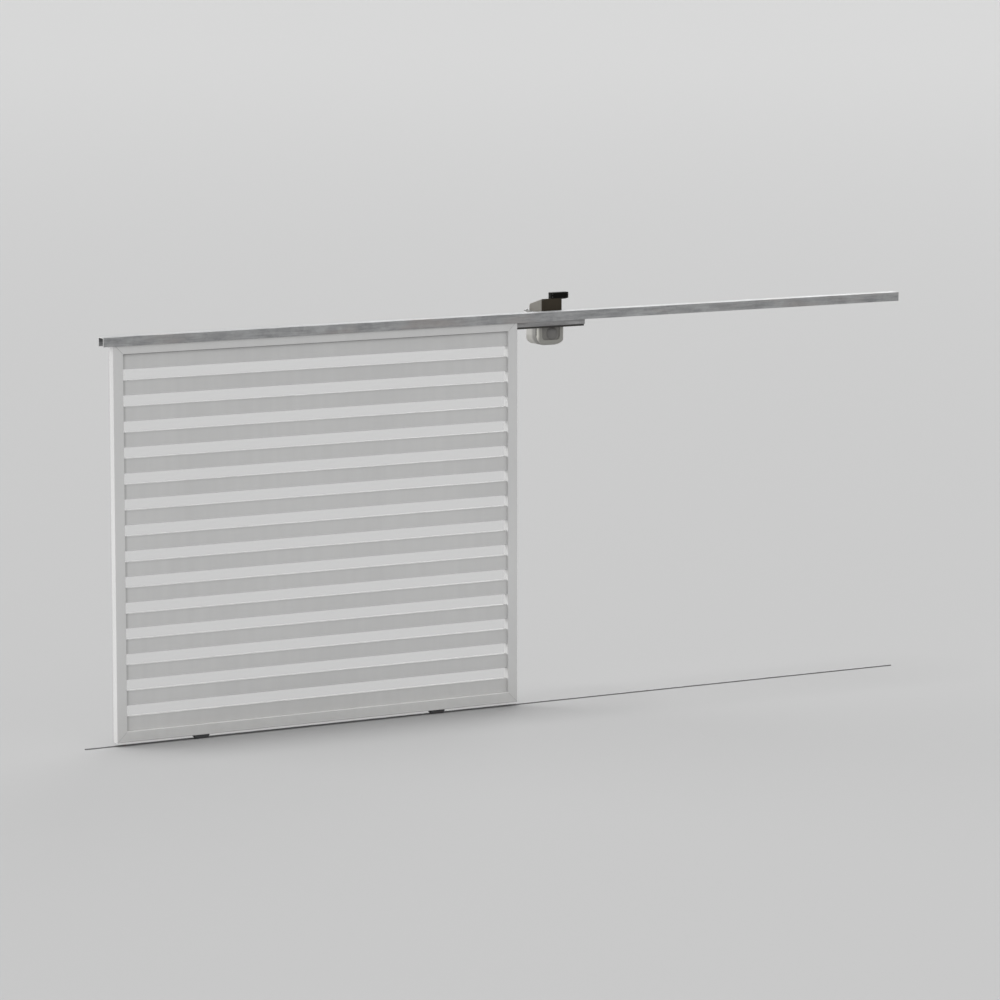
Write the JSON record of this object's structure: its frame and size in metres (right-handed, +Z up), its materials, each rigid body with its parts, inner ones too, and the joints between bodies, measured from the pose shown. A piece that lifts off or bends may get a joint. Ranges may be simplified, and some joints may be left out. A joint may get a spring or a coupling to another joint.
{
  "type": "sliding driveway gate",
  "caption": "Slatted sliding driveway gate leaf on floor-track wheels, guided at the top by a long galvanised channel with an overhead gear motor behind it.",
  "frame": {"origin": "on the underside of the floor track, at the middle of its width, below the leaf's left edge when the gate is shut", "axes": "+X along the track, the way the leaf opens; +Y to the back of the gate; +Z up"},
  "size_m": [5.309, 0.2585, 2.356],
  "materials": {
    "leaf_paint": "light grey powder coat, satin",
    "slat_paint": "light grey powder coat, satin",
    "track_steel": "dull drawn steel",
    "galvanised": "hot-dip zinc with spangle",
    "bracket_zinc": "hot-dip zinc with spangle",
    "bar_steel": "dark primer, matt",
    "plate_steel": "grey primer, matt",
    "gear_case_paint": "cast case, grey-brown enamel",
    "cover_paint": "dark brown enamel, satin",
    "black_plastic": "matt black",
    "motor_paint": "cast body, beige enamel",
    "cap_paint": "cast cap, beige enamel",
    "panel_plastic": "matt dark grey",
    "disc_plastic": "matt grey",
    "box_steel": "dark paint, matt",
    "axle_steel": "turned",
    "wheel_steel": "dark turned steel",
    "nylon": "natural nylon"
  },
  "bodies": {
    "guideway": {"floor_track": "track_steel", "top_channel": "galvanised", "motor_bracket": "bracket_zinc", "bracket_bar": "bar_steel", "base_plate": "plate_steel", "gear_case": "gear_case_paint", "case_cover": "cover_paint", "terminal_box": "black_plastic", "motor_body": "motor_paint", "motor_cap": "cap_paint", "motor_panel": "panel_plastic", "motor_disc": "disc_plastic"},
    "leaf": {"frame_left_stile": "leaf_paint", "frame_right_stile": "leaf_paint", "frame_top_rail": "leaf_paint", "frame_bottom_rail": "leaf_paint", "slat_01": "slat_paint", "slat_02": "slat_paint", "slat_03": "slat_paint", "slat_04": "slat_paint", "slat_05": "slat_paint", "slat_06": "slat_paint", "slat_07": "slat_paint", "slat_08": "slat_paint", "slat_09": "slat_paint", "slat_10": "slat_paint", "slat_11": "slat_paint", "slat_12": "slat_paint", "slat_13": "slat_paint", "slat_14": "slat_paint", "slat_15": "slat_paint", "wheel_box_left": "box_steel", "axle_left": "axle_steel", "guide_block_left": "nylon", "wheel_box_right": "box_steel", "axle_right": "axle_steel", "guide_block_right": "nylon"},
    "wheel_left": {"wheel_left": "wheel_steel"},
    "wheel_right": {"wheel_right": "wheel_steel"}
  },
  "joints": [
    {"name": "gate_slide", "type": "slide", "parent": "guideway", "child": "leaf", "axis": [1, 0, 0], "range_m": [0, 2.5]},
    {"name": "wheel_left_roll", "type": "hinge", "parent": "leaf", "child": "wheel_left", "pos_m": [0.517, 0, 0.0368], "axis": [0, 1, 0], "continuous": true},
    {"name": "wheel_right_roll", "type": "hinge", "parent": "leaf", "child": "wheel_right", "pos_m": [2.003, 0, 0.0368], "axis": [0, 1, 0], "continuous": true}
  ],
  "couplings": [
    {"joint": "wheel_left_roll", "follows": "gate_slide", "rad_per_m": 33.898},
    {"joint": "wheel_right_roll", "follows": "gate_slide", "rad_per_m": 33.898}
  ]
}
